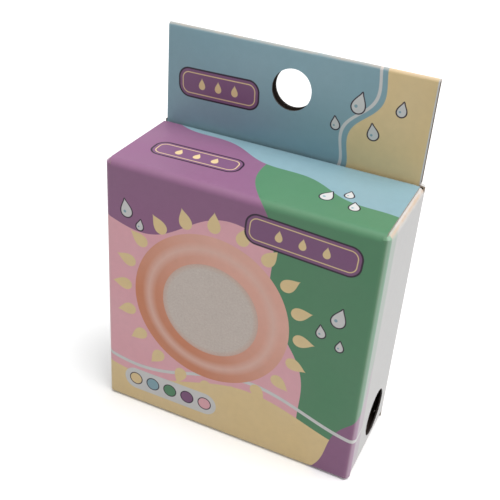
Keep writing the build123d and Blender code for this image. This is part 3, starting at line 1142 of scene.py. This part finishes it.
class MakeDustFlaps(bpy.types.Operator):
    """Model the four dust flaps and the creases that they turn on"""

    bl_idname = "moistener.dust_flaps"
    bl_label = "Dust Flaps"

    def execute(self, context):
        sizes = context.scene.carton_sizes
        for side, hand in ((1, "right"), (-1, "left")):
            for sign, end in ((1, "top"), (-1, "bottom")):
                self.flap(sizes, side, sign, f"{end}_dust_{hand}", f"{end}_dust_flap_{hand}")
        return {"FINISHED"}

    def flap(self, sizes, side, sign, body, node):
        """One flap and its crease."""
        roll = sizes.lid_roll if sign > 0 else sizes.bottom_roll
        begin, finish = max(DUST_LOW.y, FRONT + DUST_SETBACK * roll), DUST_HIGH.y
        crease = sizes.dust_crease
        flat = HALF - crease
        high = DUST_TOP - sizes.dust_drop
        level = high if sign > 0 else TOP - high
        wall_end = level - sign * crease
        corner, strip_end = side * HALF, BACK - sizes.upright_crease
        strip = start_edge(body + "_crease", (corner, begin, wall_end), (corner, strip_end, wall_end), cuts=7)
        fold((side * flat, 0, wall_end), (0, -side * sign, 0), pi / 2)
        finish_board(strip, (side, 0, sign), "side_print", across_front, wear_and_highlight=1.6)
        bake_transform(strip)

        length = flat - DUST_LOW.x
        centre = (side * (flat - length / 2), (begin + finish) / 2, level)
        panel = start_sheet(body + "_flap", "TOP", centre, (length, finish - begin))
        inner = side * (flat - length)
        front_run = length * tan(sizes.dust_front_rake)
        back_run = -length * tan(sizes.dust_back_rake)
        for edge, run in ((begin, front_run), (finish, back_run)):
            pick("VERT", lambda p: near(p.x, inner) and near(p.y, edge))
            shift_picked(y=run)
        pick("VERT", lambda p: near(p.x, inner))
        bpy.ops.mesh.bevel(offset=sizes.dust_corner, segments=5, affect="VERTICES")
        finish_board(panel, (0, 0, sign), "side_print", across_front)
        seat(panel, body, "bare_board", node)


def turn_on_dish_axis(name, profile, steps=96):
    """Draw a profile of radius and height over the base, spin it round the dish's axis and close it."""
    points = [(radius, BASE_Y - height, DISH_Z) for radius, height in profile]
    piece = start_line(name, points)
    bpy.ops.mesh.spin(steps=steps, angle=2 * pi, center=(0, 0, DISH_Z), axis=(0, 1, 0))
    pick_all()
    bpy.ops.mesh.remove_doubles(threshold=TINY)
    bpy.ops.mesh.normals_make_consistent(inside=False)
    leave_edit()
    return piece


def arc(centre, radius, begin, end, steps):
    """Points of an arc in a profile."""
    angles = [begin + (end - begin) * step / steps for step in range(steps + 1)]
    return [(centre[0] + radius * cos(angle), centre[1] + radius * sin(angle)) for angle in angles]


def finish_dish(piece, material, slot, node):
    """Dress a piece of the dish and let it ride on the dish."""
    piece.data.materials.append(bpy.data.materials[material])
    smooth(piece, 35)
    seat(piece, "dish", slot, node)


class MakeBowl(bpy.types.Operator):
    """Model the dish's tapered outer bowl with its foot ring"""

    bl_idname = "moistener.bowl"
    bl_label = "Outer Bowl"

    def execute(self, context):
        sizes = context.scene.dish_sizes
        lip_radius = BOWL_HIGH.x
        lip_height = BASE_Y - BOWL_LOW.y
        slope = (lip_radius - sizes.base_radius) / lip_height
        wall_run = sizes.wall * (1 + slope**2) ** 0.5
        foot_inner = sizes.base_radius - sizes.foot_width
        ease = sizes.edge_round
        wall_meets = -0.2
        profile = [
            (0, sizes.foot_depth),
            (foot_inner - sizes.foot_depth, sizes.foot_depth),
            (foot_inner, 0),
            *arc((sizes.base_radius - ease, ease), ease, -pi / 2, wall_meets, 5),
            (lip_radius, lip_height),
            (lip_radius - wall_run, lip_height),
            (sizes.base_radius + slope * sizes.wall - wall_run, sizes.wall),
            (0, sizes.wall),
        ]
        bowl = turn_on_dish_axis("outer_bowl_shell", profile)
        finish_dish(bowl, "bowl_moulding", "bowl_plastic", "outer_bowl")
        return {"FINISHED"}


class MakeRim(bpy.types.Operator):
    """Model the dish's domed rim with the well for the pad"""

    bl_idname = "moistener.rim"
    bl_label = "Rim Insert"

    def execute(self, context):
        sizes = context.scene.dish_sizes
        height = BASE_Y - RIM_LOW.y
        dome = sizes.rim_width / 2
        dome_r, dome_h = DISH_RADIUS - dome, height - dome
        lip = BASE_Y - BOWL_LOW.y
        inner = dome - sizes.wall
        well_radius = DISH_RADIUS - sizes.rim_width
        well_floor = BASE_Y - PAD_HIGH.y
        ease = sizes.edge_round / 2
        profile = [
            (0, well_floor),
            (well_radius - ease, well_floor),
            *arc((dome_r, dome_h), dome, pi, 0, 32),
            (DISH_RADIUS, lip + ease),
            (DISH_RADIUS - ease, lip),
            (dome_r + inner, lip),
            *arc((dome_r, dome_h), inner, 0, pi, 24),
            (dome_r - inner, well_floor - sizes.wall),
            (0, well_floor - sizes.wall),
        ]
        rim = turn_on_dish_axis("rim_and_well", profile, 128)
        finish_dish(rim, "rim_moulding", "rim_plastic", "rim_insert")
        return {"FINISHED"}


class MakePad(bpy.types.Operator):
    """Model the sponge pad with its crown and open pores"""

    bl_idname = "moistener.pad"
    bl_label = "Sponge Pad"

    def execute(self, context):
        sizes = context.scene.dish_sizes
        radius = PAD_HIGH.x
        low, high = BASE_Y - PAD_HIGH.y, BASE_Y - PAD_LOW.y
        ease, crown, rings = 0.0012, 0.0006, 36
        pore_size = 0.0016
        top = []
        for ring in range(rings + 1):
            out = (radius - ease) * ring / rings
            top.append((out, high - crown * (out / radius) ** 2 - sizes.pore_depth))
        edge = arc((radius - ease, top[-1][1] - ease), ease, pi / 2, 0, 6)
        profile = [*top, *edge[1:], (radius, low + ease / 2), (radius - ease / 2, low), (0, low)]
        pad = turn_on_dish_axis("sponge_pad_foam", profile, 160)
        pores = bpy.data.textures.new("pores", "VORONOI")
        pores.noise_scale = pore_size
        modify(pad, "DISPLACE", texture=pores, texture_coords="GLOBAL", strength=sizes.pore_depth,
               mid_level=0.5)
        finish_dish(pad, "open_foam", "sponge", "sponge_pad")
        return {"FINISHED"}


def seen_directly(web):
    """1 where the camera sees a surface itself, or in a reflection or through glass."""
    path = web.add("LightPath").outputs
    seen = web.maths("MAXIMUM", path["Is Camera Ray"], path["Is Glossy Ray"])
    return web.maths("MAXIMUM", seen, path["Is Transmission Ray"])


class MakeStudio(bpy.types.Operator):
    """Set the floor, the lights, the surroundings and the camera"""

    bl_idname = "moistener.studio"
    bl_label = "Studio"

    def execute(self, context):
        settings = context.scene.studio_settings
        self.floor()
        self.surroundings(context, settings)
        self.key_light(context, settings)
        self.camera(context, settings)
        context.scene.view_settings.view_transform = "Standard"
        return {"FINISHED"}

    def floor(self):
        """A wide pale floor with a faint unevenness."""
        width, gap, glow = 8, 0.0001, 0.1
        leave_edit()
        bpy.ops.mesh.primitive_plane_add(size=width, location=(0, 0, -gap))
        floor = bpy.context.object
        floor.name = "floor"
        web, shader = new_material("pale_floor")
        cloud = web.noise(web.on_piece(), scale=8)
        pale = web.layer(cloud, 3 * (0.93,), 3 * (0.96,))
        dim = web.layer(cloud, 3 * (0.50,), 3 * (0.54,))
        seen = seen_directly(web)
        web.feed(shader["Base Color"], web.layer(seen, dim, pale))
        shader["Emission Color"].default_value = (1, 1, 1, 1)
        web.feed(shader["Emission Strength"], web.maths("MULTIPLY", seen, glow))
        shader["Roughness"].default_value = 0.9
        floor.data.materials.append(bpy.data.materials["pale_floor"])

    def key_light(self, context, settings):
        """Wide soft light from above."""
        leave_edit()
        bpy.ops.object.light_add(type="SUN", location=(0, 0, 1))
        lamp = context.object
        lamp.name = "key_light"
        lamp.data.energy = settings.key
        lamp.data.angle = settings.key_spread
        lamp.rotation_euler = Vector(settings.key_from).to_track_quat("Z", "Y").to_euler()

    def surroundings(self, context, settings):
        """White surroundings, dimmer where they light the object than where they are seen."""
        world = bpy.data.worlds.new("white_studio")
        world.use_nodes = True
        context.scene.world = world
        web = Web(world.node_tree)
        background = world.node_tree.nodes["Background"].inputs
        seen = seen_directly(web)
        background["Color"].default_value = (1, 1, 1, 1)
        strength = web.spread(seen, 1 - settings.ambient, settings.ambient)
        web.feed(background["Strength"], strength)

    def camera(self, context, settings):
        """Camera at the angle of view, tilted a little."""
        turn, down, roll = settings.azimuth, settings.elevation, settings.roll
        ahead = Vector((-sin(turn) * cos(down), cos(turn) * cos(down), -sin(down)))
        level_right = Vector((cos(turn), sin(turn), 0))
        level_up = level_right.cross(ahead)
        right = cos(roll) * level_right + sin(roll) * level_up
        up = right.cross(ahead)
        leave_edit()
        bpy.ops.object.camera_add(location=settings.camera_at)
        camera = context.object
        axes = Matrix((right, up, -ahead)).transposed()
        camera.rotation_euler = axes.to_euler()
        camera.data.sensor_width = 36
        camera.data.lens = settings.lens
        camera.data.clip_start = 0.01
        context.scene.camera = camera


PIECES = (MakeFinishes, MakeFront, MakeSides, MakeBack, MakeTab, MakeLid, MakeBottom, MakeDustFlaps, MakeBowl,
          MakeRim, MakePad, MakeStudio)


class MoistenerPanel(bpy.types.Panel):
    """Lists the pieces and their sizes, colours and light"""

    bl_idname = "VIEW3D_PT_moistener"
    bl_label = "Boxed Moistener"
    bl_space_type = "VIEW_3D"
    bl_region_type = "UI"
    bl_category = "Moistener"

    def draw(self, context):
        for piece in PIECES:
            self.layout.operator(piece.bl_idname)
        for group in GROUPS:
            settings = getattr(context.scene, group)
            for name in settings.bl_rna.properties.keys():
                if name not in ("name", "rna_type"):
                    self.layout.prop(settings, name)


GROUPS = {
    "carton_sizes": CartonSizes,
    "dish_sizes": DishSizes,
    "print_colours": PrintColours,
    "studio_settings": StudioSettings,
}
CLASSES = (*GROUPS.values(), *PIECES, MoistenerPanel)


def register():
    for kind in CLASSES:
        bpy.utils.register_class(kind)
    for name, kind in GROUPS.items():
        setattr(bpy.types.Scene, name, bpy.props.PointerProperty(type=kind))


def unregister():
    for name in GROUPS:
        delattr(bpy.types.Scene, name)
    for kind in reversed(CLASSES):
        bpy.utils.unregister_class(kind)


def main():
    register()
    bpy.ops.moistener.finishes()
    bpy.ops.moistener.front()
    bpy.ops.moistener.sides()
    bpy.ops.moistener.back()
    bpy.ops.moistener.tab()
    bpy.ops.moistener.lid()
    bpy.ops.moistener.bottom()
    bpy.ops.moistener.dust_flaps()
    bpy.ops.moistener.bowl()
    bpy.ops.moistener.rim()
    bpy.ops.moistener.pad()
    bpy.ops.moistener.studio()


if __name__ == "__main__":
    main()
